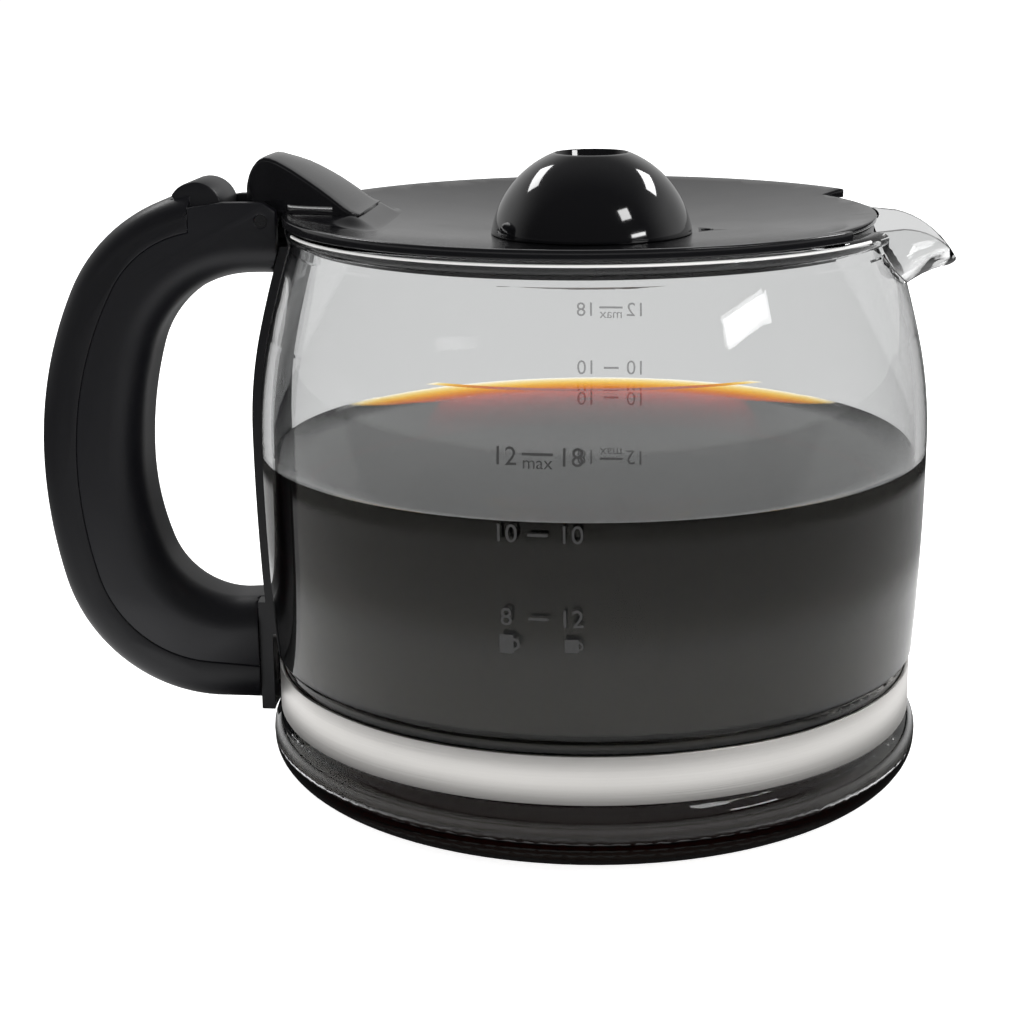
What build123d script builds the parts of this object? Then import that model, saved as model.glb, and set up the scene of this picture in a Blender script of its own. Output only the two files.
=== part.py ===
"""Glass jug of a drip coffee maker, with a hinged lid and a two-piece grip.

Millimetres. The origin is on the table at the jug's axis, +Z is up, the
pouring lip points along +X and the grip along -X.
"""
import os
from math import radians, sqrt, tan

from build123d import *

os.makedirs("parts", exist_ok=True)

# Glass: radii are outer ones, heights are above the table
body_radius = 77.5
glass_wall = 2.4
glass_floor = 4.0
base_radius = body_radius - 0.7
base_flat_radius = body_radius - 20.5
base_bulge_z = 11.2
band_height = 11.0
band_thickness = 0.8
band_gap = 0.1
band_z = 18.3
waist_radius = body_radius - 3.3
heel_radius = body_radius - 1.9
heel_z = band_z + band_height + 3.7
lower_body_height = 49.8
widest_z = heel_z + lower_body_height
shoulder_radius = body_radius - 2.8
shoulder_z = widest_z + 24.1
throat_radius = body_radius - 8.2
throat_z = shoulder_z + 19.6
neck_radius = body_radius - 8.6
neck_z = throat_z + 2.5
rim_z = neck_z + 3.1
bead_stand = 1.1
bead_drop = 1.3
rim_round = 0.6
base_bow = 0.5
groove_height = 1.0
groove_bow = 0.3
neck_bore = neck_radius - glass_wall

# Pouring lip: how far its tip stands out, and how far the tip is below the rim
lip_reach = 13.6
lip_drop = 8.3
lip_tip_x = neck_radius + lip_reach
lip_tip_z = rim_z - lip_drop
lip_start_x = neck_radius + 1.0
lip_bend = (neck_radius + 8.4, rim_z - 2.8)
trim_room = 30.0

# Coffee inside the glass
coffee_z = 78.1
coffee_gap = 0.15

# Lid
lid_gap = 0.3
flange_thickness = 2.1
flange_radius = neck_radius + 1.9
plate_top_z = rim_z + lid_gap + flange_thickness
saucer_depth = 5.5
plate_thickness = 2.0
tongue_radius = neck_bore - 1.9
tongue_half_angle = 34.5
skirt_gap = 1.1
skirt_radius = neck_bore - skirt_gap
skirt_wall = 2.0
skirt_bottom_z = rim_z - 4.4
seam = 0.05
dome_radius = 23.5
dome_wall = 2.2
dome_sink = 3.7
drip_opening = 8.3
funnel_bore = 4.0
funnel_wall = 1.6
funnel_fit = 0.2
funnel_length = 24.0
spigot_radius = 18.3
spigot_wall = 2.0
lid_screw_circle = 20.2
lid_screw_radius = 1.0
lid_head_radius = 1.9
lid_head_height = 1.4
lid_screw_bite = 2.2
boss_radius = 2.4

# Hinge: the pin's axis lies along Y
pin_radius = 1.5
pin_fit = 0.03
knuckle_fit = 0.06
knuckle_radius = 3.6
hinge_x = -(flange_radius + 4.3)
hinge_z = rim_z + 0.4
side_gap = 0.3

# Grip
grip_width = 22.0
grip_depth = 24.6
grip_reach = 51.4
cheek_wall = 2.8
channel_half = grip_width / 2 - cheek_wall
strap_gap = 0.3
strap_thickness = 2.1
strap_half_width = 9.5
foot_radius = base_radius + strap_gap + 3.2
foot_bottom_z = 15.9
foot_height = 25.0
seat_gap = 0.1
cover_depth = 9.7
grip_wall = 3.0
outer_round = 6.0
inner_round = 7.5
bar_height = 17.0
bar_web = 6.3
web_top_z = hinge_z - bar_height + bar_web + 4.2

# Lever
lever_wall = 1.8
lever_height = 14.5
lever_foot_half = channel_half - side_gap
lever_front_half = 14.4

# Screws
screw_radius = 1.5
screw_fit = 0.05
head_radius = 2.8
head_height = 1.2


# How a cylinder or box stands on its place, or hangs from it
standing = (Align.CENTER, Align.CENTER, Align.MIN)
hanging = (Align.CENTER, Align.CENTER, Align.MAX)


def at(radius, z):
    return (radius, z)


def jug_side(step):
    """Lines of the glass's side from the waist to the neck, moved out by step."""
    heel = at(heel_radius + step, heel_z)
    widest = at(body_radius + step, widest_z)
    shoulder = at(shoulder_radius + step, shoulder_z)
    throat = at(throat_radius + step, throat_z)
    TangentArc(widest, heel, tangent=(0, -1))
    upper = TangentArc(widest, shoulder, tangent=(0, 1))
    TangentArc(shoulder, throat, tangent=upper % 1)


def jug_foot(inset, floor):
    """Lines of the base and waist, from the axis to the heel, moved in by inset."""
    flat = base_flat_radius - inset
    Line(at(0, floor), at(flat, floor))
    EllipticalCenterArc(
        at(flat, base_bulge_z),
        base_radius - base_flat_radius,
        base_bulge_z - floor,
        start_angle=270,
        arc_size=90,
    )
    waist = waist_radius - inset
    groove_z = band_z + band_height + groove_height
    ThreePointArc(
        at(base_radius - inset, base_bulge_z),
        at(base_radius - inset - base_bow, (base_bulge_z + band_z) / 2 + base_bow + 0.1),
        at(waist, band_z),
    )
    Line(at(waist, band_z), at(waist, groove_z))
    ThreePointArc(
        at(waist, groove_z),
        at(waist + groove_bow, (groove_z + heel_z) / 2 + groove_bow),
        at(heel_radius - inset, heel_z),
    )


# Lip sections: distance along the lip, half width, half height and centre below the rim
lip_sections = [
    (-7.0, 26.0, 20.0, 0.0),
    (1.0, 19.0, 15.5, 0.0),
    (7.1, 13.0, 10.0, 1.6),
    (11.1, 7.5, 6.2, 4.2),
    (lip_reach, 2.6, 2.6, 6.6),
]


def lip_plane(along, below):
    return Plane(origin=(neck_radius + along, 0, rim_z - below), x_dir=(0, 1, 0), z_dir=(1, 0, 0))


with BuildPart() as glass_jug:
    with BuildSketch(Plane.XZ):
        with BuildLine():
            jug_foot(0, 0)
            jug_side(0)
            Line(at(throat_radius, throat_z), at(neck_radius, neck_z))
            ThreePointArc(
                at(neck_radius, neck_z),
                at(neck_radius + bead_stand, rim_z - bead_drop),
                at(neck_radius - rim_round, rim_z),
            )
            Line(at(neck_radius - rim_round, rim_z), at(0, rim_z))
            Line(at(0, rim_z), at(0, 0))
        make_face()
    revolve(axis=Axis.Z)
    for along, half_width, half_height, below in lip_sections:
        with BuildSketch(lip_plane(along, below)):
            Ellipse(half_width, half_height)
    loft()
    with BuildSketch(Plane.XZ):
        with BuildLine():
            jug_foot(glass_wall, glass_floor)
            jug_side(-glass_wall)
            Line(at(throat_radius - glass_wall, throat_z), at(neck_bore, neck_z))
            Line(at(neck_bore, neck_z), at(neck_bore, rim_z + 1))
            Line(at(neck_bore, rim_z + 1), at(0, rim_z + 1))
            Line(at(0, rim_z + 1), at(0, glass_floor))
        make_face()
    revolve(axis=Axis.Z, mode=Mode.SUBTRACT)
    for along, half_width, half_height, below in lip_sections[:-1]:
        with BuildSketch(lip_plane(along, below)):
            Ellipse(half_width - glass_wall, half_height - glass_wall)
    loft(mode=Mode.SUBTRACT)
    with BuildSketch(Plane.XZ):
        with BuildLine():
            ThreePointArc((lip_start_x, rim_z), lip_bend, (lip_tip_x, lip_tip_z))
            Polyline(
                (lip_tip_x, lip_tip_z),
                (lip_tip_x + trim_room, lip_tip_z),
                (lip_tip_x + trim_room, rim_z + trim_room),
                (neck_radius - trim_room, rim_z + trim_room),
                (neck_radius - trim_room, rim_z),
                (lip_start_x, rim_z),
            )
        make_face()
    extrude(amount=2 * trim_room, both=True, mode=Mode.SUBTRACT)
glass_jug.part.label = "glass_jug"

with BuildPart() as coffee:
    with BuildSketch(Plane.XZ):
        with BuildLine():
            jug_foot(glass_wall + coffee_gap, glass_floor + coffee_gap)
            jug_side(-glass_wall - coffee_gap)
            Line(
                at(throat_radius - glass_wall - coffee_gap, throat_z),
                at(0, throat_z),
            )
            Line(at(0, throat_z), at(0, glass_floor + coffee_gap))
        make_face()
    revolve(axis=Axis.Z)
    split(bisect_by=Plane.XY.offset(coffee_z), keep=Keep.BOTTOM)
coffee.part.label = "coffee"

# Waist band with two lugs that reach back through the strap into the grip's foot
band_inner = waist_radius + band_gap
band_outer = band_inner + band_thickness
band_middle_z = band_z + band_height / 2
lug_gap = 2.4
lug_end_x = -(foot_radius + 9.5)
lug_height = band_height - 1.0
clamp_x = -(foot_radius + 5.0)
bore_radius = screw_radius + screw_fit

with BuildPart() as waist_band:
    with BuildSketch(Plane.XY.offset(band_z)):
        Circle(band_outer)
        Circle(band_inner, mode=Mode.SUBTRACT)
        with Locations((-band_outer, 0)):
            Rectangle(4 * lug_gap, lug_gap, mode=Mode.SUBTRACT)
    extrude(amount=band_height)
    for side in (-1, 1):
        lug_y = side * (lug_gap + band_thickness) / 2
        with Locations(((lug_end_x - band_inner) / 2, lug_y, band_middle_z)):
            Box(-lug_end_x - band_inner, band_thickness, lug_height)
    with Locations(Location((clamp_x, 0, band_middle_z), (90, 0, 0))):
        Cylinder(bore_radius, grip_width, mode=Mode.SUBTRACT)
waist_band.part.label = "waist_band"

lug_face = lug_gap / 2 + band_thickness
nut_height = 2.4
clamp_head_height = 1.9
thread_end = 0.6

with BuildPart() as band_screw:
    with Locations(Location((clamp_x, lug_face, band_middle_z), (-90, 0, 0))):
        Cylinder(head_radius, clamp_head_height, align=standing)
    with Locations(Location((clamp_x, lug_face, band_middle_z), (90, 0, 0))):
        Cylinder(screw_radius, 2 * lug_face + nut_height + thread_end, align=standing)
band_screw.part.label = "band_screw"

with BuildPart() as band_nut:
    with BuildSketch(Plane(origin=(clamp_x, -lug_face, band_middle_z), z_dir=(0, -1, 0))):
        RegularPolygon(head_radius, 6)
        Circle(bore_radius, mode=Mode.SUBTRACT)
    extrude(amount=nut_height)
band_nut.part.label = "band_nut"

# Strap: a thin curved spine between the grip's two ends
foot_top_z = foot_bottom_z + foot_height
strap_foot_z = foot_bottom_z - 2.0
clip_half_width = 5.0
clip_thickness = 0.7
clip_bottom_z = throat_z - 8.0
clip_tail_z = rim_z - 7.0
screw_x = -(foot_radius + 8.0)
lower_screw_z = foot_top_z - 5.6
upper_screw_z = web_top_z - 3.2
slot_height = band_height + 1.4
clip_zone = 60.0
clip_rise = 0.1
head_room = 0.2
strap_screw_length = 12.0


def side_radius(z):
    """Outer radius of the glass at a height between the heel and the throat."""
    if z <= widest_z:
        rise = lower_body_height
        inset = body_radius - heel_radius
        bend = (rise**2 + inset**2) / (2 * inset)
        return body_radius - bend + sqrt(bend**2 - (widest_z - z) ** 2)
    rise = shoulder_z - widest_z
    inset = body_radius - shoulder_radius
    bend = (rise**2 + inset**2) / (2 * inset)
    if z <= shoulder_z:
        return body_radius - bend + sqrt(bend**2 - (z - widest_z) ** 2)
    slope = (shoulder_radius - throat_radius) / (throat_z - shoulder_z)
    return shoulder_radius - slope * (z - shoulder_z)


def glass_shell(inner, outer):
    """Closed outline between two offsets of the glass's side."""
    jug_side(inner)
    jug_side(outer)
    Line(at(heel_radius + inner, heel_z), at(heel_radius + outer, heel_z))
    Line(at(throat_radius + inner, throat_z), at(throat_radius + outer, throat_z))


with BuildPart() as strap_sheet:
    with BuildSketch(Plane.XZ):
        with BuildLine():
            glass_shell(strap_gap, strap_gap + strap_thickness)
        make_face()
    revolve(axis=Axis.Z)
    with BuildSketch(Plane.XY.offset(strap_foot_z)):
        Circle(foot_radius)
        Circle(base_radius + strap_gap, mode=Mode.SUBTRACT)
    extrude(amount=foot_top_z - strap_foot_z)

strap_screw_seats = (
    (lower_screw_z, base_radius),
    (upper_screw_z, side_radius(upper_screw_z - head_radius)),
)


def clip_outline():
    """Steel hook over the rim: outer leg along the glass, inner leg inside the neck."""
    near = strap_gap
    far = strap_gap + clip_thickness
    bead = neck_radius + bead_stand
    Polyline(
        at(side_radius(clip_bottom_z) + near, clip_bottom_z),
        at(throat_radius + near, throat_z),
        at(bead + near, neck_z),
        at(bead + near, rim_z + clip_rise),
        at(neck_bore - near, rim_z + clip_rise),
        at(neck_bore - near, clip_tail_z),
        at(neck_bore - far, clip_tail_z),
        at(neck_bore - far, rim_z + clip_rise + clip_thickness),
        at(bead + far, rim_z + clip_rise + clip_thickness),
        at(bead + far, neck_z),
        at(throat_radius + far, throat_z),
        at(side_radius(clip_bottom_z) + far, clip_bottom_z),
        close=True,
    )


with BuildPart() as rim_clip:
    with BuildSketch(Plane.XZ):
        with BuildLine():
            clip_outline()
        make_face()
    revolve(axis=Axis.Z)
    with Locations((-neck_radius, 0, neck_z)):
        Box(clip_zone, 2 * clip_half_width, clip_zone, mode=Mode.INTERSECT)
    with Locations(Location((-neck_radius, 0, upper_screw_z), (0, -90, 0))):
        Cylinder(head_radius + head_room, clip_zone / 3, mode=Mode.SUBTRACT)
rim_clip.part.label = "rim_clip"

with BuildPart() as clip_room:
    with BuildSketch(Plane.XZ):
        with BuildLine():
            clip_outline()
        make_face()
        offset(amount=seam, kind=Kind.INTERSECTION)
    revolve(axis=Axis.Z)
    with Locations((-neck_radius, 0, neck_z)):
        Box(clip_zone, 2 * (clip_half_width + side_gap), clip_zone, mode=Mode.INTERSECT)

with BuildPart() as handle_strap:
    add(strap_sheet.part)
    with BuildSketch(Plane.XY.offset(strap_foot_z)):
        with Locations((-foot_radius, 0)):
            Rectangle(grip_depth, 2 * strap_half_width)
    extrude(amount=rim_z - strap_foot_z, mode=Mode.INTERSECT)
    add(clip_room.part, mode=Mode.SUBTRACT)
    with Locations((-foot_radius, 0, band_middle_z)):
        Box(4 * (foot_radius - base_radius), 2 * lug_face + 1.2, slot_height, mode=Mode.SUBTRACT)
    for z, seat in strap_screw_seats:
        with Locations(Location((-(seat + strap_gap), 0, z), (0, -90, 0))):
            Cylinder(bore_radius, 2 * strap_screw_length, mode=Mode.SUBTRACT)
            Cone(
                head_radius + 2 * screw_fit,
                screw_radius + 2 * screw_fit,
                head_height,
                align=standing,
                mode=Mode.SUBTRACT,
            )
handle_strap.part.label = "handle_strap"

with BuildPart() as strap_screws:
    for z, seat in strap_screw_seats:
        with Locations(Location((-(seat + strap_gap + screw_fit), 0, z), (0, -90, 0))):
            Cone(head_radius, screw_radius, head_height, align=standing)
            Cylinder(screw_radius, strap_screw_length, align=standing)
strap_screws.part.label = "strap_screws"

# Grip: an inner body with two hinge cheeks, and an outer cover with the thumb rest
outer_x = -(foot_radius + grip_reach)
inner_x = outer_x + grip_depth
part_x = outer_x + cover_depth
middle_z = (hinge_z + foot_bottom_z) / 2
cheek_end_x = hinge_x - 17.1
cheek_front_x = hinge_x + 3.5
cheek_top_z = hinge_z + 4.2
bar_z = hinge_z - bar_height + 4.2
foot_inside_x = -foot_radius + 4
foot_part_z = foot_bottom_z + 9.1
cover_top_z = hinge_z + 6.1
pocket_end_x = lug_end_x - 1.5
hump_top_z = hinge_z + 8.4
hump_front_x = hinge_x - 9.9
cover_screw_x = -(foot_radius + 13.5)
cavity_end_x = cover_screw_x - 4.5


def bent_line(start, bend_up, end_up, bend_down, end_down):
    """Two pairs of tangent arcs that leave a point straight up and straight down."""
    rise = TangentArc(start, bend_up, tangent=(0, 1))
    rise_end = TangentArc(bend_up, end_up, tangent=rise % 1)
    fall = TangentArc(start, bend_down, tangent=(0, -1))
    fall_end = TangentArc(bend_down, end_down, tangent=fall % 1)
    return [rise, rise_end, fall, fall_end]


def part_line():
    """The line where cover and body meet, with the straight ends of both."""
    low_end = (-(foot_radius + 11.7), foot_bottom_z + 10.1)
    bent_line(
        (part_x, middle_z),
        (outer_x + 20.8, hinge_z - 15.8),
        (cheek_end_x, hinge_z - 2.7),
        (outer_x + 13.5, foot_bottom_z + 31.1),
        low_end,
    )
    Line(low_end, (foot_inside_x, foot_part_z))


def cover_outline():
    part_line()
    low_end = (-(foot_radius + 8.7), foot_bottom_z)
    outside = bent_line(
        (outer_x, middle_z),
        (outer_x + 9.2, hinge_z - 17.0),
        (cheek_end_x, cover_top_z),
        (outer_x + 3.7, foot_bottom_z + 29.4),
        low_end,
    )
    Line((cheek_end_x, cover_top_z), (cheek_end_x, hinge_z - 2.7))
    sole = Line(low_end, (foot_inside_x, foot_bottom_z))
    Line((foot_inside_x, foot_bottom_z), (foot_inside_x, foot_part_z))
    return outside + [sole]


def body_outline():
    part_line()
    top_end = (hinge_x - 4.9, bar_z)
    low_end = (-(foot_radius + 3.7), foot_top_z)
    inside = bent_line(
        (inner_x, middle_z),
        (inner_x + 4.0, hinge_z - 31.0),
        top_end,
        (inner_x + 3.7, foot_top_z + 12.4),
        low_end,
    )
    instep = TangentArc(low_end, (foot_inside_x, foot_top_z), tangent=inside[3] % 1)
    Line((foot_inside_x, foot_top_z), (foot_inside_x, foot_part_z))
    bar = TangentArc(top_end, (cheek_front_x, bar_z), tangent=inside[1] % 1)
    Polyline(
        (cheek_front_x, bar_z),
        (cheek_front_x, hinge_z + 2.2),
        (cheek_front_x - 2.9, cheek_top_z),
        (hinge_x - 9.1, cheek_top_z),
        (cheek_end_x, hinge_z + 3.0),
        (cheek_end_x, hinge_z - 2.7),
    )
    return inside + [instep, bar]


def edges_along(solid, lines):
    """Edges on the grip's two flat sides that run over the given outline's lines."""
    found = []
    for edge in solid.edges():
        middle = edge.position_at(0.5)
        on_side = abs(abs(middle.Y) - grip_width / 2) < 0.01
        spot = Vector(middle.X, middle.Z)
        if on_side and min(line.distance_to(spot) for line in lines) < 0.01:
            found.append(edge)
    return found


with BuildSketch(Plane.XZ) as grip_cavity:
    for outline in (cover_outline, body_outline):
        with BuildLine():
            outline()
        make_face()
    offset(amount=-grip_wall)
    with Locations((cavity_end_x - grip_reach, middle_z)):
        Rectangle(2 * grip_reach, 2 * hinge_z, mode=Mode.INTERSECT)

# What both halves of the grip leave room for: strap, lugs, screw access
pocket_half = lug_face + nut_height + 1.0
outer_step = strap_gap + strap_thickness + seat_gap
access_radius = head_radius + 0.6
screw_end_room = 0.5
cover_screw_length = 19.0
cover_head_height = 1.95
cover_sink = 1.0

with BuildPart() as grip_room:
    with BuildSketch(Plane.XZ):
        with BuildLine():
            jug_side(outer_step)
            Polyline(
                at(heel_radius + outer_step, heel_z),
                at(0, heel_z),
                at(0, throat_z),
                at(throat_radius + outer_step, throat_z),
            )
        make_face()
    revolve(axis=Axis.Z)
    Cylinder(
        foot_radius + seat_gap,
        foot_top_z + seat_gap,
        align=standing,
    )
    with Locations(((pocket_end_x - foot_radius + 1) / 2, 0, band_middle_z)):
        Box(-pocket_end_x - foot_radius + 3, 2 * pocket_half, slot_height)
    with Locations(Location((clamp_x, 0, band_middle_z), (-90, 0, 0))):
        Cylinder(access_radius, grip_width, align=standing)
    for z in (lower_screw_z, upper_screw_z):
        with Locations(Location((-neck_radius, 0, z), (0, -90, 0))):
            Cylinder(
                bore_radius,
                body_radius - neck_radius + strap_screw_length + screw_end_room,
                align=standing,
            )
    with Locations((cover_screw_x, 0, foot_bottom_z - cover_sink)):
        Cylinder(bore_radius, cover_screw_length + 3 * cover_sink, align=standing)
        Cylinder(head_radius + head_room, 4 * cover_sink, align=standing)

with BuildPart() as handle_cover:
    with BuildSketch(Plane.XZ):
        with BuildLine():
            outside_lines = cover_outline()
        make_face()
    extrude(amount=grip_width / 2, both=True)
    fillet(edges_along(handle_cover.part, outside_lines), outer_round)
    with BuildSketch(Plane.XZ):
        with BuildLine():
            ThreePointArc(
                (cheek_end_x - 4.5, cover_top_z - 0.8),
                (hump_front_x - 4.6, hump_top_z),
                (hump_front_x, hinge_z + 4.2),
            )
            Polyline(
                (hump_front_x, hinge_z + 4.2),
                (hump_front_x, web_top_z + seam),
                (cheek_end_x, web_top_z + seam),
                (cheek_end_x, cover_top_z - 4),
                (cheek_end_x - 4.5, cover_top_z - 0.8),
            )
        make_face()
    extrude(amount=channel_half - side_gap, both=True)
    add(grip_room.part, mode=Mode.SUBTRACT)
    extrude(grip_cavity.sketch, amount=grip_width / 2 - grip_wall, both=True, mode=Mode.SUBTRACT)
handle_cover.part.label = "handle_cover"

with BuildPart() as handle_body:
    with BuildSketch(Plane.XZ):
        with BuildLine():
            inside_lines = body_outline()
        make_face()
    extrude(amount=grip_width / 2, both=True)
    fillet(edges_along(handle_body.part, inside_lines), inner_round)
    add(grip_room.part, mode=Mode.SUBTRACT)
    extrude(grip_cavity.sketch, amount=grip_width / 2 - grip_wall, both=True, mode=Mode.SUBTRACT)
    with Locations(((cheek_end_x + cheek_front_x) / 2, 0, web_top_z)):
        Box(
            cheek_front_x - cheek_end_x + 0.2,
            2 * channel_half,
            20,
            align=standing,
            mode=Mode.SUBTRACT,
        )
    with Locations((cheek_front_x, 0, web_top_z)):
        Box(
            8,
            2 * channel_half,
            20,
            align=standing,
            mode=Mode.SUBTRACT,
        )
    with Locations(Location((hinge_x, 0, hinge_z), (90, 0, 0))):
        Cylinder(pin_radius + pin_fit, grip_width + 2, mode=Mode.SUBTRACT)
handle_body.part.label = "handle_body"

with BuildPart() as cover_screw:
    with Locations((cover_screw_x, 0, foot_bottom_z + cover_sink)):
        Cylinder(head_radius, cover_head_height, align=standing)
        Cylinder(screw_radius, cover_screw_length, align=standing)
cover_screw.part.label = "cover_screw"

with BuildPart() as hinge_pin:
    with Locations(Location((hinge_x, 0, hinge_z), (90, 0, 0))):
        Cylinder(pin_radius, grip_width - 0.4)
hinge_pin.part.label = "hinge_pin"

# Lid: saucer-shaped plate with a hub for the dome and a knuckle for the pin
flange_bottom_z = plate_top_z - flange_thickness
skirt_top_z = flange_bottom_z - 0.7
hub_top_z = plate_top_z - saucer_depth
hub_bottom_z = hub_top_z - plate_thickness
hub_radius = dome_radius + 1.0
hub_bore = spigot_radius + side_gap
saucer_radius = flange_radius - 1.3
saucer_middle = ((saucer_radius + hub_radius) / 2, (plate_top_z + hub_top_z) / 2 - 0.8)
block_front_x = -(neck_bore - 15.0)
drain_angle = 8.5
drain_radius = 1.5


def saucer_line():
    """Top line of the lid, from the flange's edge to the hub's bore."""
    Line(at(flange_radius, plate_top_z), at(saucer_radius, plate_top_z))
    ThreePointArc(at(saucer_radius, plate_top_z), saucer_middle, at(hub_radius, hub_top_z))
    Line(at(hub_radius, hub_top_z), at(hub_bore, hub_top_z))


def lip_sector(inner):
    """The part of the lid in front of the pouring lip, outside a radius."""
    reach = 2 * flange_radius
    spread = reach * tan(radians(tongue_half_angle))
    Circle(flange_radius + 5)
    Circle(inner, mode=Mode.SUBTRACT)
    Polygon((0, 0), (reach, -spread), (reach, spread), align=None, mode=Mode.INTERSECT)


with BuildPart() as lid_plate:
    with BuildSketch(Plane.XZ):
        with BuildLine():
            saucer_line()
            Polyline(
                at(hub_bore, hub_top_z),
                at(hub_bore, hub_bottom_z),
                at(hub_radius, hub_bottom_z),
            )
            ThreePointArc(
                at(hub_radius, hub_bottom_z),
                (saucer_middle[0], saucer_middle[1] - plate_thickness),
                at(neck_bore - 1, flange_bottom_z),
            )
            Polyline(
                at(neck_bore - 1, flange_bottom_z),
                at(flange_radius, flange_bottom_z),
                at(flange_radius, plate_top_z),
            )
        make_face()
    revolve(axis=Axis.Z)
    with BuildSketch(Plane.XY.offset(hub_bottom_z - 1)):
        lip_sector(tongue_radius)
    extrude(amount=saucer_depth + 10, mode=Mode.SUBTRACT)
    with Locations(((hinge_x + block_front_x) / 2, 0, plate_top_z)):
        Box(
            block_front_x - hinge_x,
            2 * lever_foot_half,
            plate_top_z - hinge_z,
            align=hanging,
        )
    with Locations(((block_front_x - neck_bore + 1) / 2, 0, plate_top_z)):
        Box(
            block_front_x + neck_bore - 1,
            2 * lever_foot_half,
            plate_top_z - skirt_top_z - seam,
            align=hanging,
        )
    with Locations(Location((hinge_x, 0, hinge_z), (90, 0, 0))):
        Cylinder(knuckle_radius, 2 * lever_foot_half)
        Cylinder(pin_radius + knuckle_fit, grip_width, mode=Mode.SUBTRACT)
    clip_top_z = rim_z + clip_thickness + 0.1
    with Locations((-neck_radius, 0, clip_top_z + side_gap)):
        Box(
            2 * (flange_radius + 0.7 - neck_radius) + 2.6,
            2 * (clip_half_width + side_gap),
            10,
            align=hanging,
            mode=Mode.SUBTRACT,
        )
    with PolarLocations(hub_radius + drain_radius + 0.4, 1, start_angle=drain_angle):
        with Locations((0, 0, hub_top_z)):
            Cylinder(drain_radius, 12, mode=Mode.SUBTRACT)
    with PolarLocations(lid_screw_circle, 3, start_angle=60):
        with Locations((0, 0, hub_top_z)):
            Cylinder(lid_screw_radius + screw_fit, 12, mode=Mode.SUBTRACT)
lid_plate.part.label = "lid_plate"

# Inner lid: skirt inside the neck, dished web, and bosses up to the plate's hub
web_wall = 1.6
web_top = hub_bottom_z - 2.8
web_start_z = skirt_bottom_z + 0.9
web_fillet = 0.9

with BuildPart() as inner_lid:
    with BuildSketch(Plane.XZ):
        with BuildLine():
            Polyline(
                at(skirt_radius, skirt_top_z),
                at(skirt_radius, skirt_bottom_z),
                at(skirt_radius - skirt_wall, skirt_bottom_z),
                at(skirt_radius - skirt_wall, web_start_z),
                at(hub_radius, web_top - web_wall),
                at(hub_bore, web_top - web_wall),
                at(hub_bore, web_top),
                at(hub_radius, web_top),
                at(skirt_radius - skirt_wall - web_fillet, web_start_z + web_wall),
                at(skirt_radius - skirt_wall, skirt_top_z),
                close=True,
            )
        make_face()
    revolve(axis=Axis.Z)
    with PolarLocations(lid_screw_circle, 3, start_angle=60):
        with Locations((0, 0, web_top - web_wall)):
            Cylinder(boss_radius, hub_bottom_z - seam - web_top + web_wall, align=standing)
            Cylinder(lid_screw_radius + screw_fit, 20, mode=Mode.SUBTRACT)
    Cylinder(
        hub_bore,
        hub_top_z + 20,
        align=standing,
        mode=Mode.SUBTRACT,
    )
    with BuildSketch(Plane.XY.offset(web_top - 5)):
        lip_sector(tongue_radius - 0.6)
        with Locations((-skirt_radius, 0)):
            Rectangle(10, 2 * (clip_half_width + 1.5))
    extrude(amount=saucer_depth + 12, mode=Mode.SUBTRACT)
inner_lid.part.label = "inner_lid"

# Dome: hollow ball cap on a foot ring, with a spigot through the hub
dome_z = hub_top_z - dome_sink
dome_foot_z = hub_top_z + seam
foot_ring_z = dome_foot_z + 3.0
ledge_z = dome_z + 18.2
ledge_under_z = ledge_z - 1.9
ledge_bore = funnel_bore + funnel_wall + 0.6
spigot_end_z = web_top + 0.2


def ball(radius, z):
    """Radius of a ball round the dome's centre, at a height."""
    return sqrt(radius**2 - (z - dome_z) ** 2)


def ball_z(radius, out):
    """Height of a ball round the dome's centre, at a distance from the axis."""
    return dome_z + sqrt(radius**2 - out**2)


inside_ball = dome_radius - dome_wall

with BuildPart() as lid_dome:
    with BuildSketch(Plane.XZ):
        with BuildLine():
            foot = at(ball(dome_radius, dome_foot_z), dome_foot_z)
            crown = at(drip_opening, ball_z(dome_radius, drip_opening))
            inner_crown = at(drip_opening, ledge_z)
            inner_ledge = at(ball(inside_ball, ledge_under_z), ledge_under_z)
            inner_foot = at(ball(inside_ball, foot_ring_z), foot_ring_z)
            RadiusArc(crown, foot, dome_radius)
            Polyline(
                crown,
                inner_crown,
                at(ledge_bore, ledge_z),
                at(ledge_bore, ledge_under_z),
                inner_ledge,
            )
            RadiusArc(inner_ledge, inner_foot, inside_ball)
            Polyline(
                inner_foot,
                at(spigot_radius - spigot_wall, foot_ring_z),
                at(spigot_radius - spigot_wall, spigot_end_z),
                at(spigot_radius, spigot_end_z),
                at(spigot_radius, dome_foot_z),
                foot,
            )
        make_face()
    revolve(axis=Axis.Z)
    with PolarLocations(lid_screw_circle, 3, start_angle=60):
        with Locations((0, 0, dome_foot_z)):
            Cylinder(
                lid_screw_radius + screw_fit,
                2 * lid_screw_bite + 0.6,
                mode=Mode.SUBTRACT,
            )
lid_dome.part.label = "lid_dome"

with BuildPart() as drip_funnel:
    with Locations((0, 0, ledge_z + seam)):
        Cylinder(drip_opening - funnel_fit, funnel_wall, align=standing)
        Cylinder(
            funnel_bore + funnel_wall,
            funnel_length,
            align=hanging,
        )
        Cylinder(funnel_bore, 3 * funnel_length, mode=Mode.SUBTRACT)
drip_funnel.part.label = "drip_funnel"

with BuildPart() as lid_screws:
    with PolarLocations(lid_screw_circle, 3, start_angle=60):
        with Locations((0, 0, web_top - web_wall - seam)):
            Cylinder(lid_head_radius, lid_head_height, align=hanging)
            Cylinder(
                lid_screw_radius,
                dome_foot_z + lid_screw_bite - web_top + web_wall,
                align=standing,
            )
lid_screws.part.label = "lid_screws"

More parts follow.
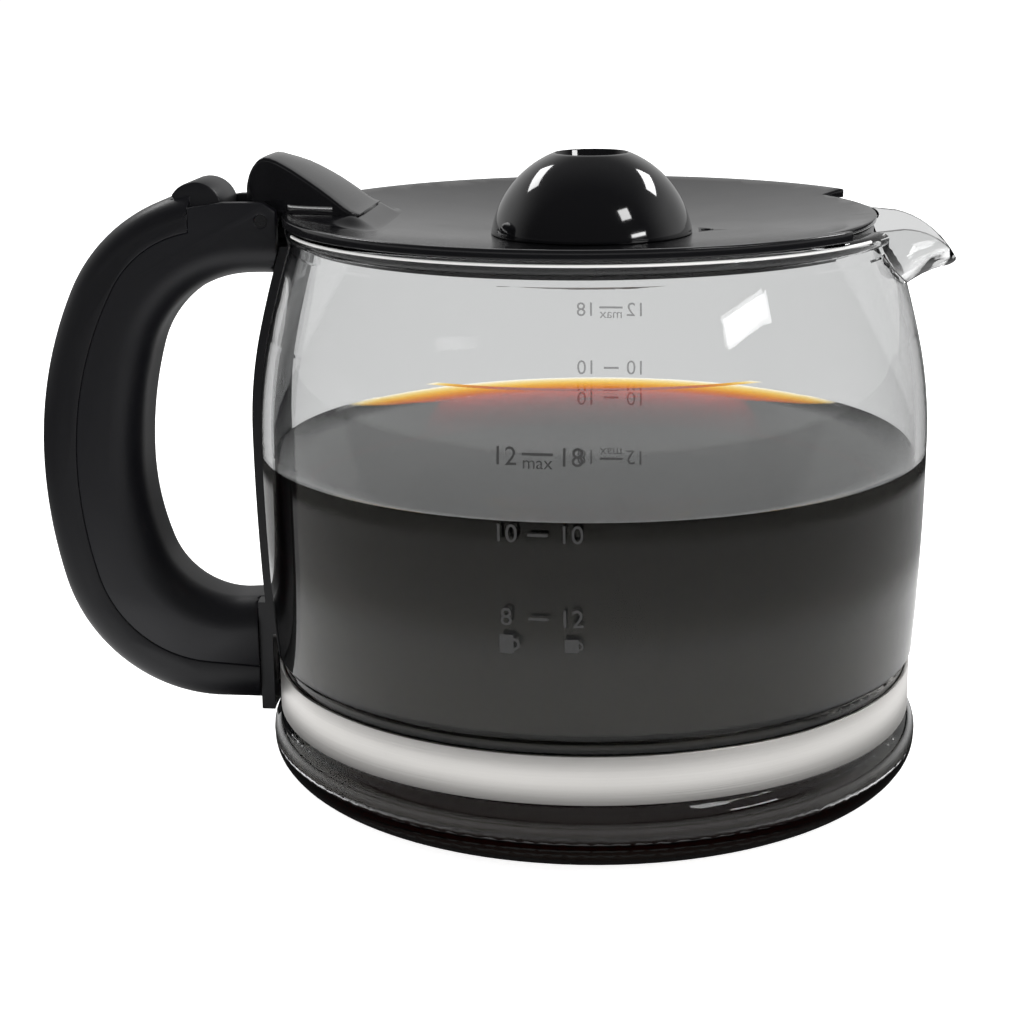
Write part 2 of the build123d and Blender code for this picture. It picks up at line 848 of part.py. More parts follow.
# Lever: hollow wedge, narrow between the cheeks and flared over the lid
lever_back_x = hinge_x - 5.2
lever_top_z = hinge_z + lever_height
lever_front_x = hinge_x + 21.0
lever_front_z = hinge_z + 3.7
slot_low_z = plate_top_z + 0.5
slot_thickness = 1.3
slot_start_x = hinge_x + 6.2
slot_end_x = hinge_x + 17.4


def lever_plan(inset):
    """Outline of the lever from above, moved in by inset."""
    back = lever_back_x + inset
    foot_half = lever_foot_half - inset
    front_half = lever_front_half - inset
    neck = hinge_x + 3.8
    middle = (hinge_x + 9.6, (foot_half + front_half) / 2 + 0.8)
    flare = hinge_x + 17.5
    nose = lever_front_x + 3.5 - inset
    for side in (-1, 1):
        Line((back + 3, side * foot_half), (neck, side * foot_half))
        ThreePointArc((neck, side * foot_half), (middle[0], side * middle[1]), (flare, side * front_half))
        Line((flare, side * front_half), (nose, side * front_half))
    Line((nose, -front_half), (nose, front_half))
    ThreePointArc((back + 3, -foot_half), (back, 0), (back + 3, foot_half))


def lever_side(inset):
    """Outline of the lever from the side, moved in by inset."""
    back = lever_back_x + inset
    Polyline(
        (lever_front_x - inset, lever_front_z - inset),
        (lever_front_x + 2.8 - inset, hub_top_z),
        (back, hub_top_z),
        (back, hinge_z + 3.6),
    )
    ThreePointArc(
        (back, hinge_z + 3.6),
        (hinge_x - 3.9 + inset, hinge_z + 9.0 - inset / 2),
        (hinge_x - 0.6 + inset, lever_top_z - 0.6 - inset),
    )
    Polyline(
        (hinge_x - 0.6 + inset, lever_top_z - 0.6 - inset),
        (hinge_x + 1.4, lever_top_z - inset),
        (lever_front_x - inset, lever_front_z - inset),
    )


lever_solids = []
for inset in (0, lever_wall):
    with BuildPart() as lever_solid:
        with BuildSketch(Plane.XY.offset(hub_top_z)):
            with BuildLine():
                lever_plan(inset)
            make_face()
        extrude(amount=lever_top_z - hub_top_z + 1)
        with BuildSketch(Plane.XZ):
            with BuildLine():
                lever_side(inset)
            make_face()
        extrude(amount=2 * lever_front_half, both=True, mode=Mode.INTERSECT)
    lever_solids.append(lever_solid.part)
lever_outside, lever_hollow = lever_solids

with BuildPart() as lid_fill:
    with BuildSketch(Plane.XZ):
        with BuildLine():
            saucer_line()
            Polyline(
                at(hub_bore, hub_top_z),
                at(hub_bore, hub_top_z - 9),
                at(flange_radius, hub_top_z - 9),
                at(flange_radius, plate_top_z),
            )
        make_face()
        offset(amount=seam, kind=Kind.INTERSECTION)
    revolve(axis=Axis.Z)
    with Locations(((lever_back_x - 1 + block_front_x) / 2, 0, plate_top_z + seam)):
        Box(
            block_front_x - lever_back_x + 1,
            2 * lever_foot_half + 2 * seam,
            10,
            align=hanging,
        )

with BuildPart() as lid_lever:
    add(lever_outside)
    add(lever_hollow, mode=Mode.SUBTRACT)
    add(lid_fill.part, mode=Mode.SUBTRACT)
    with Locations(((slot_start_x + slot_end_x) / 2, 0, slot_low_z + slot_thickness / 2)):
        Box(
            slot_end_x - slot_start_x + 2 * seam,
            2 * lever_front_half + 4,
            slot_thickness + 2 * seam,
            mode=Mode.SUBTRACT,
        )
    with Locations(Location((hinge_x, 0, hinge_z), (90, 0, 0))):
        Cylinder(knuckle_radius + seam, grip_width, mode=Mode.SUBTRACT)
lid_lever.part.label = "lid_lever"

with BuildPart() as lever_clip:
    with BuildSketch(Plane.XY.offset(slot_low_z)):
        with BuildLine():
            lever_plan(-0.1)
        make_face()
        with Locations(((slot_start_x + slot_end_x) / 2, 0)):
            Rectangle(slot_end_x - slot_start_x, 4 * lever_front_half, mode=Mode.INTERSECT)
    extrude(amount=slot_thickness)
lever_clip.part.label = "lever_clip"

for piece in (
    glass_jug,
    coffee,
    waist_band,
    band_screw,
    band_nut,
    handle_strap,
    strap_screws,
    rim_clip,
    handle_cover,
    handle_body,
    cover_screw,
    hinge_pin,
    lid_plate,
    inner_lid,
    lid_dome,
    drip_funnel,
    lid_screws,
    lid_lever,
    lever_clip,
):
    export_step(piece.part, f"parts/{piece.part.label}.step")
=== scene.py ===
import math

import bmesh
import bpy
from mathutils import Matrix, Vector
from mathutils.bvhtree import BVHTree


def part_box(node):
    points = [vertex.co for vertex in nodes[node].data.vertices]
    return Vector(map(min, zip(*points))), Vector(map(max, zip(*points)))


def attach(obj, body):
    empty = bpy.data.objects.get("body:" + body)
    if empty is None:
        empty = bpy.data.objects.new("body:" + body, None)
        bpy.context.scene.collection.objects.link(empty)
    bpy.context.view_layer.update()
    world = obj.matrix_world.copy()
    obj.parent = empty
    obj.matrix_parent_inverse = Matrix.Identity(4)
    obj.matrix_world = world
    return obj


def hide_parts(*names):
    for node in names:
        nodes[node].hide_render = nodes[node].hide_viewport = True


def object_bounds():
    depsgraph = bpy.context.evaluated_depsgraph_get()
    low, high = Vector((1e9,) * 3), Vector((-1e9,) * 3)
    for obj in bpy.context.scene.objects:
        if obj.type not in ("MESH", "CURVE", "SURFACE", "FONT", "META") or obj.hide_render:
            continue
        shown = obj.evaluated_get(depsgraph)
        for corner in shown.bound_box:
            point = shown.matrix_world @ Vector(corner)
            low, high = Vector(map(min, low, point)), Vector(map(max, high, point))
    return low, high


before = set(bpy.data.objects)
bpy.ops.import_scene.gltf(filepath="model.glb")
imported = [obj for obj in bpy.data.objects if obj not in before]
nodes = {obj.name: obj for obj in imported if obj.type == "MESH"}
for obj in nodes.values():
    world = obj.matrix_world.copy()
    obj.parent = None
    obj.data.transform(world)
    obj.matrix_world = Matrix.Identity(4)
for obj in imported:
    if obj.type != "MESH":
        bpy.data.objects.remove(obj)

mm = 0.001
weld = 0.002 * mm      # points closer than this are one
cadLow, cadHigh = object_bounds()
print("frame loaded,", len(nodes), "nodes")


# mesh helpers

def newPiece(name, bm, material, body, replaced=(), smoothAngle=35):
    mesh = bpy.data.meshes.new(name)
    bm.to_mesh(mesh)
    bm.free()
    mesh.materials.append(material)
    piece = bpy.data.objects.new(name, mesh)
    bpy.context.scene.collection.objects.link(piece)
    mesh.shade_smooth()
    mesh.set_sharp_from_angle(angle=math.radians(smoothAngle))
    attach(piece, body)
    if replaced:
        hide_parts(*replaced)
    return piece


def spinProfile(points, steps=96):
    # points are (radius, height) pairs, from the axis or round a closed loop
    bm = bmesh.new()
    verts = [bm.verts.new((radius, 0, height)) for radius, height in points]
    edges = [bm.edges.new(pair) for pair in zip(verts, verts[1:])]
    if points[0][0] > 0 and points[-1][0] > 0:
        edges.append(bm.edges.new((verts[-1], verts[0])))
    bmesh.ops.spin(
        bm, geom=verts + edges, cent=(0, 0, 0), axis=(0, 0, 1), angle=math.tau, steps=steps, use_merge=True
    )
    bmesh.ops.remove_doubles(bm, verts=bm.verts, dist=weld)
    bmesh.ops.recalc_face_normals(bm, faces=bm.faces)
    return bm


def softened(node, edge, segments=2, sharpAngle=30, flatAngle=0.5):
    # a merged copy of a CAD node with its sharp edges rounded over
    bm = bmesh.new()
    bm.from_mesh(nodes[node].data)
    bmesh.ops.remove_doubles(bm, verts=bm.verts, dist=weld)
    bmesh.ops.dissolve_limit(bm, angle_limit=math.radians(flatAngle), verts=bm.verts, edges=bm.edges)
    limit = math.radians(sharpAngle)
    sharp = [e for e in bm.edges if len(e.link_faces) == 2 and e.calc_face_angle(0) > limit]
    bmesh.ops.bevel(
        bm, geom=sharp, offset=edge, offset_type="OFFSET", affect="EDGES", segments=segments,
        profile=0.5, material=-1, clamp_overlap=False,
    )
    # a corner that strayed where rounded edges crowd goes back to the node
    tree = treeOf(node)
    for vert in bm.verts:
        near, _, _, distance = tree.find_nearest(vert.co)
        if distance > edge:
            vert.co = near
    return bm


def treeOf(node):
    mesh = nodes[node].data
    return BVHTree.FromPolygons([v.co for v in mesh.vertices], [p.vertices for p in mesh.polygons])


def sideRadius(tree, height, azimuth=-math.pi / 2):
    # radius of a node's outer side at a height
    way = Vector((math.cos(azimuth), math.sin(azimuth), 0))
    hit = tree.ray_cast(way * 0.2 + Vector((0, 0, height)), -way)[0]
    return math.hypot(hit.x, hit.y)


# materials

def newGroup(name, inputs, outputs):
    group = bpy.data.node_groups.new(name, "ShaderNodeTree")
    for label, kind, value in inputs:
        socket = group.interface.new_socket(name=label, in_out="INPUT", socket_type=kind)
        socket.default_value = value
    for label, kind in outputs:
        group.interface.new_socket(name=label, in_out="OUTPUT", socket_type=kind)
    start = group.nodes.new("NodeGroupInput")
    end = group.nodes.new("NodeGroupOutput")
    return group, start, end


def addNode(tree, kind, **settings):
    node = tree.nodes.new(kind)
    for key, value in settings.items():
        setattr(node, key, value)
    return node


def makeMouldedGroup():
    # fine moulding grain, slow changes of gloss and a little dust on faces that look up
    group, start, end = newGroup(
        "mouldedPlastic",
        [
            ("Colour", "NodeSocketColor", (0.01, 0.01, 0.01, 1)),
            ("Dust Colour", "NodeSocketColor", (0.1, 0.1, 0.1, 1)),
            ("Roughness", "NodeSocketFloat", 0.4),
            ("Grain Scale", "NodeSocketFloat", 2500.0),
            ("Dust", "NodeSocketFloat", 0.1),
        ],
        [("Colour", "NodeSocketColor"), ("Roughness", "NodeSocketFloat"), ("Height", "NodeSocketFloat")],
    )
    link = group.links.new
    place = addNode(group, "ShaderNodeTexCoord")
    grain = addNode(group, "ShaderNodeTexNoise")
    grain.inputs["Detail"].default_value = 3
    slow = addNode(group, "ShaderNodeTexNoise")
    slow.inputs["Scale"].default_value = 38
    slow.inputs["Detail"].default_value = 5
    specks = addNode(group, "ShaderNodeTexNoise")
    specks.inputs["Scale"].default_value = 900
    specks.inputs["Detail"].default_value = 2
    link(place.outputs["Object"], grain.inputs["Vector"])
    link(place.outputs["Object"], slow.inputs["Vector"])
    link(place.outputs["Object"], specks.inputs["Vector"])
    link(start.outputs["Grain Scale"], grain.inputs["Scale"])
    # gloss changes slowly by a few hundredths
    spread = addNode(group, "ShaderNodeMapRange")
    spread.inputs["From Min"].default_value = 0.3
    spread.inputs["From Max"].default_value = 0.7
    spread.inputs["To Min"].default_value = -0.04
    spread.inputs["To Max"].default_value = 0.05
    gloss = addNode(group, "ShaderNodeMath", operation="ADD", use_clamp=True)
    link(slow.outputs["Fac"], spread.inputs["Value"])
    link(spread.outputs["Result"], gloss.inputs[0])
    link(start.outputs["Roughness"], gloss.inputs[1])
    link(gloss.outputs["Value"], end.inputs["Roughness"])
    # dust lies where the face looks up and the specks are thick
    facing = addNode(group, "ShaderNodeNewGeometry")
    split = addNode(group, "ShaderNodeSeparateXYZ")
    upward = addNode(group, "ShaderNodeMath", operation="MULTIPLY", use_clamp=True)
    thick = addNode(group, "ShaderNodeMapRange")
    thick.inputs["From Min"].default_value = 0.52
    thick.inputs["From Max"].default_value = 0.75
    amount = addNode(group, "ShaderNodeMath", operation="MULTIPLY", use_clamp=True)
    link(facing.outputs["Normal"], split.inputs["Vector"])
    link(specks.outputs["Fac"], thick.inputs["Value"])
    link(split.outputs["Z"], upward.inputs[0])
    link(thick.outputs["Result"], upward.inputs[1])
    link(upward.outputs["Value"], amount.inputs[0])
    link(start.outputs["Dust"], amount.inputs[1])
    tint = addNode(group, "ShaderNodeMix", data_type="RGBA")
    link(amount.outputs["Value"], tint.inputs["Factor"])
    link(start.outputs["Colour"], tint.inputs["A"])
    link(start.outputs["Dust Colour"], tint.inputs["B"])
    link(tint.outputs["Result"], end.inputs["Colour"])
    link(grain.outputs["Fac"], end.inputs["Height"])
    return group


def makeBrushedGroup():
    # fine lines round the axis, with slow changes of shade
    group, start, end = newGroup(
        "brushedSteel",
        [
            ("Colour", "NodeSocketColor", (0.7, 0.7, 0.7, 1)),
            ("Shade", "NodeSocketColor", (0.6, 0.6, 0.6, 1)),
            ("Roughness", "NodeSocketFloat", 0.3),
        ],
        [("Colour", "NodeSocketColor"), ("Roughness", "NodeSocketFloat"), ("Height", "NodeSocketFloat")],
    )
    link = group.links.new
    place = addNode(group, "ShaderNodeTexCoord")
    stretch = addNode(group, "ShaderNodeMapping")
    stretch.inputs["Scale"].default_value = (14, 14, 5200)
    lines = addNode(group, "ShaderNodeTexNoise")
    lines.inputs["Scale"].default_value = 1.0
    lines.inputs["Detail"].default_value = 4
    slow = addNode(group, "ShaderNodeTexNoise")
    slow.inputs["Scale"].default_value = 22
    link(place.outputs["Object"], stretch.inputs["Vector"])
    link(stretch.outputs["Vector"], lines.inputs["Vector"])
    link(place.outputs["Object"], slow.inputs["Vector"])
    tint = addNode(group, "ShaderNodeMix", data_type="RGBA")
    link(lines.outputs["Fac"], tint.inputs["Factor"])
    link(start.outputs["Colour"], tint.inputs["A"])
    link(start.outputs["Shade"], tint.inputs["B"])
    link(tint.outputs["Result"], end.inputs["Colour"])
    spread = addNode(group, "ShaderNodeMapRange")
    spread.inputs["To Min"].default_value = -0.07
    spread.inputs["To Max"].default_value = 0.07
    gloss = addNode(group, "ShaderNodeMath", operation="ADD", use_clamp=True)
    link(slow.outputs["Fac"], spread.inputs["Value"])
    link(spread.outputs["Result"], gloss.inputs[0])
    link(start.outputs["Roughness"], gloss.inputs[1])
    link(gloss.outputs["Value"], end.inputs["Roughness"])
    link(lines.outputs["Fac"], end.inputs["Height"])
    return group


mouldedGroup = makeMouldedGroup()
brushedGroup = makeBrushedGroup()


def newMaterial(name):
    material = bpy.data.materials.new(name)
    material.use_nodes = True
    shader = material.node_tree.nodes["Principled BSDF"]
    return material, material.node_tree, shader


def bumpTo(tree, shader, height, strength, distance):
    bump = addNode(tree, "ShaderNodeBump")
    bump.inputs["Strength"].default_value = strength
    bump.inputs["Distance"].default_value = distance
    tree.links.new(height, bump.inputs["Height"])
    tree.links.new(bump.outputs["Normal"], shader.inputs["Normal"])


def makePlastic(name, colour, roughness, grain, depth, dust=0.05, coat=0.0, dustColour=(0.12, 0.12, 0.12)):
    material, tree, shader = newMaterial(name)
    moulded = addNode(tree, "ShaderNodeGroup")
    moulded.node_tree = mouldedGroup
    moulded.inputs["Colour"].default_value = (*colour, 1)
    moulded.inputs["Dust Colour"].default_value = (*dustColour, 1)
    moulded.inputs["Roughness"].default_value = roughness
    moulded.inputs["Grain Scale"].default_value = grain
    moulded.inputs["Dust"].default_value = dust
    tree.links.new(moulded.outputs["Colour"], shader.inputs["Base Color"])
    tree.links.new(moulded.outputs["Roughness"], shader.inputs["Roughness"])
    shader.inputs["Coat Weight"].default_value = coat
    shader.inputs["Coat Roughness"].default_value = 0.04
    bumpTo(tree, shader, moulded.outputs["Height"], depth, 0.0001)
    return material


def makeSteel(name, colour, shade, roughness, depth):
    material, tree, shader = newMaterial(name)
    brushed = addNode(tree, "ShaderNodeGroup")
    brushed.node_tree = brushedGroup
    brushed.inputs["Colour"].default_value = (*colour, 1)
    brushed.inputs["Shade"].default_value = (*shade, 1)
    brushed.inputs["Roughness"].default_value = roughness
    shader.inputs["Metallic"].default_value = 1
    tree.links.new(brushed.outputs["Colour"], shader.inputs["Base Color"])
    tree.links.new(brushed.outputs["Roughness"], shader.inputs["Roughness"])
    bumpTo(tree, shader, brushed.outputs["Height"], depth, 0.0001)
    return material


def makeGlass():
    # clear borosilicate with faint waves from blowing
    material, tree, shader = newMaterial("clearGlass")
    shader.inputs["Base Color"].default_value = (0.86, 0.865, 0.865, 1)
    shader.inputs["Transmission Weight"].default_value = 1
    shader.inputs["Roughness"].default_value = 0.0
    shader.inputs["IOR"].default_value = 1.47
    shader.inputs["Specular Tint"].default_value = (0.6, 0.6, 0.6, 1)
    place = addNode(tree, "ShaderNodeTexCoord")
    waves = addNode(tree, "ShaderNodeTexNoise")
    waves.inputs["Scale"].default_value = 18
    waves.inputs["Detail"].default_value = 1
    tree.links.new(place.outputs["Object"], waves.inputs["Vector"])
    bumpTo(tree, shader, waves.outputs["Fac"], 0.02, 0.002)
    return material


def makeCoffee():
    # clear at a millimetre, amber at a few, black beyond
    material, tree, shader = newMaterial("blackCoffee")
    shader.inputs["Base Color"].default_value = (1, 1, 1, 1)
    shader.inputs["Transmission Weight"].default_value = 1
    shader.inputs["Roughness"].default_value = 0.0
    shader.inputs["IOR"].default_value = 1.34
    shader.inputs["Specular Tint"].default_value = (0, 0, 0, 1)
    soak = addNode(tree, "ShaderNodeVolumeAbsorption")
    soak.inputs["Color"].default_value = (0.925, 0.71, 0.0, 1)
    soak.inputs["Density"].default_value = 900
    tree.links.new(soak.outputs["Volume"], tree.nodes["Material Output"].inputs["Volume"])
    place = addNode(tree, "ShaderNodeTexCoord")
    swell = addNode(tree, "ShaderNodeTexNoise")
    swell.inputs["Scale"].default_value = 25
    tree.links.new(place.outputs["Object"], swell.inputs["Vector"])
    bumpTo(tree, shader, swell.outputs["Fac"], 0.02, 0.001)
    return material


def makeInk(name, dark, pale, cover):
    # baked-on scale print, slightly uneven
    material, tree, shader = newMaterial(name)
    place = addNode(tree, "ShaderNodeTexCoord")
    patches = addNode(tree, "ShaderNodeTexNoise")
    patches.inputs["Scale"].default_value = 1400
    ramp = addNode(tree, "ShaderNodeValToRGB")
    ramp.color_ramp.elements[0].color = (dark, dark, dark, 1)
    ramp.color_ramp.elements[1].color = (pale, pale, pale, 1)
    tree.links.new(place.outputs["Object"], patches.inputs["Vector"])
    tree.links.new(patches.outputs["Fac"], ramp.inputs["Fac"])
    tree.links.new(ramp.outputs["Color"], shader.inputs["Base Color"])
    shader.inputs["Roughness"].default_value = 0.45
    shader.inputs["Alpha"].default_value = cover
    return material


def makeRimHighlightPaint():
    # pale diffuse paint for a painted highlight: the bright line along the glass rim
    material, tree, shader = newMaterial("rimHighlightPaint")
    place = addNode(tree, "ShaderNodeTexCoord")
    rimPaintSpeckle = addNode(tree, "ShaderNodeTexNoise")
    rimPaintSpeckle.inputs["Scale"].default_value = 900
    ramp = addNode(tree, "ShaderNodeValToRGB")
    ramp.color_ramp.elements[0].color = (0.93, 0.925, 0.91, 1)
    ramp.color_ramp.elements[1].color = (0.98, 0.975, 0.96, 1)
    tree.links.new(place.outputs["Object"], rimPaintSpeckle.inputs["Vector"])
    tree.links.new(rimPaintSpeckle.outputs["Fac"], ramp.inputs["Fac"])
    tree.links.new(ramp.outputs["Color"], shader.inputs["Base Color"])
    shader.inputs["Roughness"].default_value = 0.5
    return material


glass = makeGlass()
rimHighlightPaint = makeRimHighlightPaint()
coffee = makeCoffee()
# one print in two shades: the back copy is painted paler and partly clear, as painted light for the light
# that does not reach it through the glass
frontInk = makeInk("frontInk", 0.04, 0.06, 0.95)
backInkPaintedLight = makeInk("backInkPaintedLight", 0.17, 0.24, 0.33)
gripPlastic = makePlastic("gripPlastic", (0.0075, 0.0075, 0.0105), 0.42, 2600, 0.10, dust=0.02)
coverPlastic = makePlastic("coverPlastic", (0.005, 0.005, 0.0075), 0.40, 2600, 0.08, dust=0.02)
lidPlastic = makePlastic("lidPlastic", (0.006, 0.006, 0.007), 0.15, 2200, 0.02, dust=0.03)
domePlastic = makePlastic("domePlastic", (0.004, 0.004, 0.005), 0.05, 1500, 0.01, dust=0.01, coat=0.5)
skirtPlastic = makePlastic("skirtPlastic", (0.008, 0.008, 0.009), 0.3, 2200, 0.05, dust=0.0)
leverPlastic = makePlastic("leverPlastic", (0.005, 0.005, 0.006), 0.15, 2200, 0.04, dust=0.03)
pinPlastic = makePlastic("pinPlastic", (0.01, 0.01, 0.011), 0.3, 2600, 0.05)
bandSteel = makeSteel("bandSteel", (0.93, 0.91, 0.88), (0.85, 0.83, 0.80), 0.34, 0.2)
clipSteel = makeSteel("clipSteel", (0.86, 0.86, 0.86), (0.74, 0.74, 0.74), 0.16, 0.08)
screwSteel = makeSteel("screwSteel", (0.62, 0.61, 0.6), (0.5, 0.5, 0.49), 0.3, 0.1)
print("materials made")

nodeMaterials = {
    "glass_jug": glass,
    "coffee": coffee,
    "waist_band": bandSteel,
    "band_screw": screwSteel,
    "band_nut": screwSteel,
    "handle_strap": coverPlastic,
    "strap_screws": screwSteel,
    "rim_clip": clipSteel,
    "handle_cover": coverPlastic,
    "handle_body": gripPlastic,
    "cover_screw": screwSteel,
    "hinge_pin": pinPlastic,
    "lid_plate": lidPlastic,
    "inner_lid": skirtPlastic,
    "lid_dome": domePlastic,
    "drip_funnel": domePlastic,
    "lid_screws": screwSteel,
    "lid_lever": leverPlastic,
    "lever_clip": clipSteel,
}
for nodeName, material in nodeMaterials.items():
    for place in nodes[nodeName].material_slots:
        place.material = material


# moulded and pressed pieces, their sharp edges rounded
softEdges = {
    "handle_cover": ("grip_cover", 0.35 * mm, "jug", "grip_plastic"),
    "handle_body": ("grip_body", 0.30 * mm, "jug", "grip_plastic"),
    "lid_plate": ("lid_saucer", 0.30 * mm, "lid", "lid_plastic"),
    "lid_dome": ("lid_dome_cap", 0.30 * mm, "lid", "dome_plastic"),
    "waist_band": ("steel_band", 0.12 * mm, "jug", "band_steel"),
}
for nodeName, (pieceName, edge, body, finish) in softEdges.items():
    newPiece(pieceName, softened(nodeName, edge), nodeMaterials[nodeName], body, (nodeName,))
print("edges rounded")


# thumb lever: a fan that slopes down to the lid, on a low swell of the saucer
lever = {
    # along the lid: x, height of the top, half width
    "stations": [
        (-80.25, 136.6, 1.0), (-80.0, 138.2, 2.7), (-79.6, 139.75, 4.1), (-79.3, 140.6, 4.9),
        (-79.0, 141.35, 5.5), (-78.3, 142.8, 6.7), (-77.8, 143.65, 7.4), (-77.2, 144.55, 7.8),
        (-76.2, 145.75, 7.95), (-75.4, 146.4, 8.0), (-74.4, 146.65, 8.0), (-73.2, 146.5, 8.05),
        (-71.5, 145.95, 8.6), (-69.8, 145.3, 9.8), (-67.5, 144.3, 11.2), (-65.3, 143.1, 12.2),
        (-63.0, 141.75, 12.9), (-60.7, 140.3, 13.5), (-58.4, 138.7, 13.9), (-56.5, 137.3, 14.2),
        (-55.0, 136.15, 14.3), (-53.7, 135.25, 14.3), (-52.6, 134.75, 14.0), (-51.6, 134.48, 13.2),
    ],
    "foot": 134.2,
    "edge": 0.6,
    "crown": 0.5,
    "crownSteps": 9,
    "crownStart": -77,
    "highest": 147.0,
    "clipRange": (-68.7, -57.6),
    "clipHeights": (135.0, 136.3),
    "clipProud": 0.12,
    "clipSteps": 12,
}
swell = {
    "x": (-76, -40), "y": (-24, 24), "cuts": (60, 80), "top": 134.46,
    "flat": (-54.0, 14.0), "fall": (7.5, 8.5), "flangeRadius": 68.5, "frontRadius": 66, "frontFrom": -50,
    "thickness": 0.4 * mm,
}


def softStep(value):
    value = min(1, max(0, value))
    return value * value * (3 - 2 * value)


def leverHalf(x):
    stations = lever["stations"]
    for (x1, _, half1), (x2, _, half2) in zip(stations, stations[1:]):
        if x1 <= x <= x2:
            return half1 + (half2 - half1) * (x - x1) / (x2 - x1)
    return stations[-1][2]


def addLoop(bm, points):
    verts = [bm.verts.new(Vector(point) * mm) for point in points]
    return [bm.edges.new(pair) for pair in zip(verts, verts[1:] + verts[:1])]


def joinLoops(bm, loops):
    for first, second in zip(loops, loops[1:]):
        bmesh.ops.bridge_loops(bm, edges=first + second)
    for end in (loops[0], loops[-1]):
        bmesh.ops.contextual_create(bm, geom=end)
    bmesh.ops.recalc_face_normals(bm, faces=bm.faces)


def makeLever():
    bm = bmesh.new()
    loops = []
    for x, top, half in lever["stations"]:
        edge = min(lever["edge"], (top - lever["foot"]) * 0.45)
        side = [(x, -half, lever["foot"]), (x, -half, top - edge * 1.4), (x, -half, top - edge)]
        for step in (1, 2, 3):
            turn = math.pi / 2 * step / 3
            side.append((x, -half + edge * (1 - math.cos(turn)), top - edge * (1 - math.sin(turn))))
        swelling = softStep((x - lever["crownStart"]) / 6) * min(1, (top - lever["foot"] - 0.25) / 4)
        crown = []
        for step in range(1, lever["crownSteps"]):
            share = 2 * step / lever["crownSteps"] - 1
            rise = lever["crown"] * swelling * (1 - share ** 2)
            crown.append((x, share * (half - edge), min(top + rise, lever["highest"])))
        other = [(x, -y, z) for _, y, z in reversed(side)]
        loops.append(addLoop(bm, side + crown + other))
    joinLoops(bm, loops)
    newPiece("lid_lever_shell", bm, leverPlastic, "lid", ("lid_lever",), smoothAngle=42)


def makeClip():
    bm = bmesh.new()
    low, high = lever["clipHeights"]
    start, end = lever["clipRange"]
    loops = []
    for step in range(lever["clipSteps"] + 1):
        x = start + (end - start) * step / lever["clipSteps"]
        half = leverHalf(x) + lever["clipProud"]
        loops.append(addLoop(bm, [(x, -half, low), (x, half, low), (x, half, high), (x, -half, high)]))
    joinLoops(bm, loops)
    sharp = [e for e in bm.edges if e.calc_face_angle(0) > math.radians(50)]
    bmesh.ops.bevel(
        bm, geom=sharp, offset=0.1 * mm, offset_type="OFFSET", affect="EDGES", segments=2,
        profile=0.5, material=-1,
    )
    newPiece("steel_clip", bm, clipSteel, "lid", ("lever_clip",))


def makeSwell():
    # the saucer swells up round the lever's foot and flows back into the dish
    lid = treeOf("lid_plate")
    bm = bmesh.new()
    cutsX, cutsY = swell["cuts"]
    lowX, highX = swell["x"]
    lowY, highY = swell["y"]
    place = (
        Matrix.Translation(((lowX + highX) / 2, (lowY + highY) / 2, 0))
        @ Matrix.Diagonal(((highX - lowX) / 2, (highY - lowY) / 2, 1, 1))
    )
    bmesh.ops.create_grid(bm, x_segments=cutsX, y_segments=cutsY, size=1, matrix=place)
    flatX, flatY = swell["flat"]
    fallX, fallY = swell["fall"]
    gone = []
    for vert in bm.verts:
        x, y = vert.co.x, vert.co.y
        radius = math.hypot(x, y)
        if radius > swell["flangeRadius"] or (radius > swell["frontRadius"] and x > swell["frontFrom"]):
            gone.append(vert)
            continue
        dish = lid.ray_cast(Vector((-radius * 0.8, -radius * 0.6, 200)) * mm, Vector((0, 0, -1)))[0].z / mm
        share = softStep(1 - (x - flatX) / fallX) * softStep(1 - (abs(y) - flatY) / fallY)
        vert.co.z = dish + max(0, swell["top"] - dish) * share + 0.05 * (2 * share - 1)
    bmesh.ops.delete(bm, geom=gone, context="VERTS")
    bmesh.ops.scale(bm, vec=(mm, mm, mm), verts=bm.verts)
    bmesh.ops.recalc_face_normals(bm, faces=bm.faces)
    if sum(face.normal.z for face in bm.faces) < 0:
        bmesh.ops.reverse_faces(bm, faces=bm.faces)
    bmesh.ops.solidify(bm, geom=bm.faces, thickness=swell["thickness"])
    newPiece("saucer_swell", bm, lidPlastic, "lid", ())


makeLever()
makeClip()
makeSwell()
print("lever made")


# painted highlight on the glass rim: a pale line under the lid's flange, where the rim catches the light
rimHighlightLine = {
    "radius": 69.78 * mm, "height": 131.2 * mm, "thick": 0.34 * mm, "turns": (-157, -27),
    "steps": 120, "round": 10,
}


def makeRimHighlightLine(name, first, last):
    bm = bmesh.new()
    start = math.radians(first)
    out = Vector((math.cos(start), math.sin(start), 0))
    verts = []
    middle = out * rimHighlightLine["radius"] + Vector((0, 0, rimHighlightLine["height"]))
    for step in range(rimHighlightLine["round"]):
        turn = math.tau * step / rimHighlightLine["round"]
        way = out * math.cos(turn) + Vector((0, 0, math.sin(turn)))
        verts.append(bm.verts.new(middle + way * rimHighlightLine["thick"]))
    edges = [bm.edges.new(pair) for pair in zip(verts, verts[1:] + verts[:1])]
    ends = bmesh.ops.contextual_create(bm, geom=edges)["faces"]
    bmesh.ops.spin(
        bm, geom=verts + edges + ends, cent=(0, 0, 0), axis=(0, 0, 1), angle=math.radians(last - first),
        steps=rimHighlightLine["steps"], use_merge=False,
    )
    bmesh.ops.recalc_face_normals(bm, faces=bm.faces)
    newPiece(name, bm, rimHighlightPaint, "jug", ())


firstTurn, lastTurn = rimHighlightLine["turns"]
makeRimHighlightLine("rim_highlight_front", firstTurn, lastTurn)
makeRimHighlightLine("rim_highlight_back", -lastTurn, -firstTurn)
print("rim ground")


# coffee with a meniscus that climbs the glass
coffeeFill = {
    "levels": 34, "climb": 1.9 * mm, "creep": 9.0 * mm, "curve": 16, "steps": 160,
    "wet": 0.22 * mm,
}


